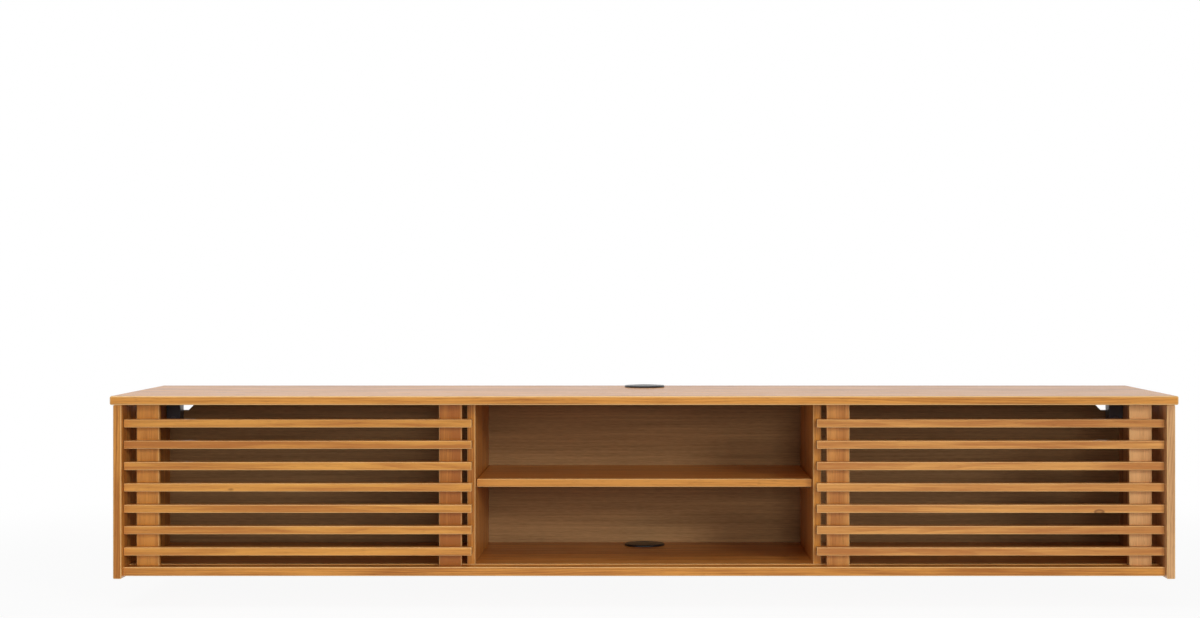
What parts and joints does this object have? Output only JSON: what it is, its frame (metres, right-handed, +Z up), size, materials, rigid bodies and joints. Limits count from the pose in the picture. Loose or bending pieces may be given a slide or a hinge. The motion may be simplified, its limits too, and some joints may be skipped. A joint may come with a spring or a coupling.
{
  "type": "floating media console",
  "caption": "Wall-hung wooden media console with an open centre bay, a shelf, slatted sliding doors on the outer bays, cable grommets and cabinet hangers.",
  "frame": {"origin": "middle of the console's plan, level with the lower edges of the end panels", "axes": "+X along the wall to the right as seen from the room, +Y to the wall, +Z up"},
  "size_m": [1.778, 0.394, 0.31],
  "materials": {
    "honey_wood": "satin lacquered honey-coloured wood, grain along each board",
    "slat_wood": "satin lacquered honey-coloured wood, tone varies from slat to slat",
    "brown_wood": "matt brown wood-grained panel",
    "dowel_wood": "bare pale wood",
    "black_plastic": "black moulded plastic, fine satin grain",
    "white_nylon": "natural white nylon",
    "zinc_steel": "bright zinc-plated steel"
  },
  "bodies": {
    "cabinet": {"top_panel": "honey_wood", "bottom_panel": "honey_wood", "left_end_panel": "honey_wood", "right_end_panel": "honey_wood", "left_divider": "honey_wood", "right_divider": "honey_wood", "centre_shelf": "honey_wood", "back_panel": "brown_wood", "left_top_front_dowel": "dowel_wood", "left_top_rear_dowel": "dowel_wood", "left_bottom_front_dowel": "dowel_wood", "left_bottom_rear_dowel": "dowel_wood", "right_top_front_dowel": "dowel_wood", "right_top_rear_dowel": "dowel_wood", "right_bottom_front_dowel": "dowel_wood", "right_bottom_rear_dowel": "dowel_wood", "left_front_shelf_pin": "zinc_steel", "left_rear_shelf_pin": "zinc_steel", "right_front_shelf_pin": "zinc_steel", "right_rear_shelf_pin": "zinc_steel", "top_grommet_sleeve": "black_plastic", "bottom_grommet_sleeve": "black_plastic", "left_hanger_housing": "black_plastic", "left_hanger_hook": "zinc_steel", "left_hanger_depth_screw": "zinc_steel", "left_hanger_height_screw": "zinc_steel", "left_wall_plate": "zinc_steel", "right_hanger_housing": "black_plastic", "right_hanger_hook": "zinc_steel", "right_hanger_depth_screw": "zinc_steel", "right_hanger_height_screw": "zinc_steel", "right_wall_plate": "zinc_steel"},
    "left_door": {"left_door_slat_1": "slat_wood", "left_door_slat_2": "slat_wood", "left_door_slat_3": "slat_wood", "left_door_slat_4": "slat_wood", "left_door_slat_5": "slat_wood", "left_door_slat_6": "slat_wood", "left_door_slat_7": "slat_wood", "left_door_outer_stile": "slat_wood", "left_door_inner_stile": "slat_wood", "left_door_outer_glide": "white_nylon", "left_door_inner_glide": "white_nylon"},
    "right_door": {"right_door_slat_1": "slat_wood", "right_door_slat_2": "slat_wood", "right_door_slat_3": "slat_wood", "right_door_slat_4": "slat_wood", "right_door_slat_5": "slat_wood", "right_door_slat_6": "slat_wood", "right_door_slat_7": "slat_wood", "right_door_outer_stile": "slat_wood", "right_door_inner_stile": "slat_wood", "right_door_outer_glide": "white_nylon", "right_door_inner_glide": "white_nylon"},
    "top_cap": {"top_grommet_cap": "black_plastic"},
    "bottom_cap": {"bottom_grommet_cap": "black_plastic"}
  },
  "joints": [
    {"name": "left_door_slide", "type": "slide", "parent": "cabinet", "child": "left_door", "axis": [1, 0, 0], "range_m": [0, 0.286]},
    {"name": "right_door_slide", "type": "slide", "parent": "cabinet", "child": "right_door", "axis": [-1, 0, 0], "range_m": [0, 0.286]},
    {"name": "top_cap_turn", "type": "hinge", "parent": "cabinet", "child": "top_cap", "pos_m": [0, 0.129, 0.3085], "axis": [0, 0, 1], "continuous": true},
    {"name": "bottom_cap_turn", "type": "hinge", "parent": "cabinet", "child": "bottom_cap", "pos_m": [0, 0.129, 0.022], "axis": [0, 0, 1], "continuous": true}
  ]
}
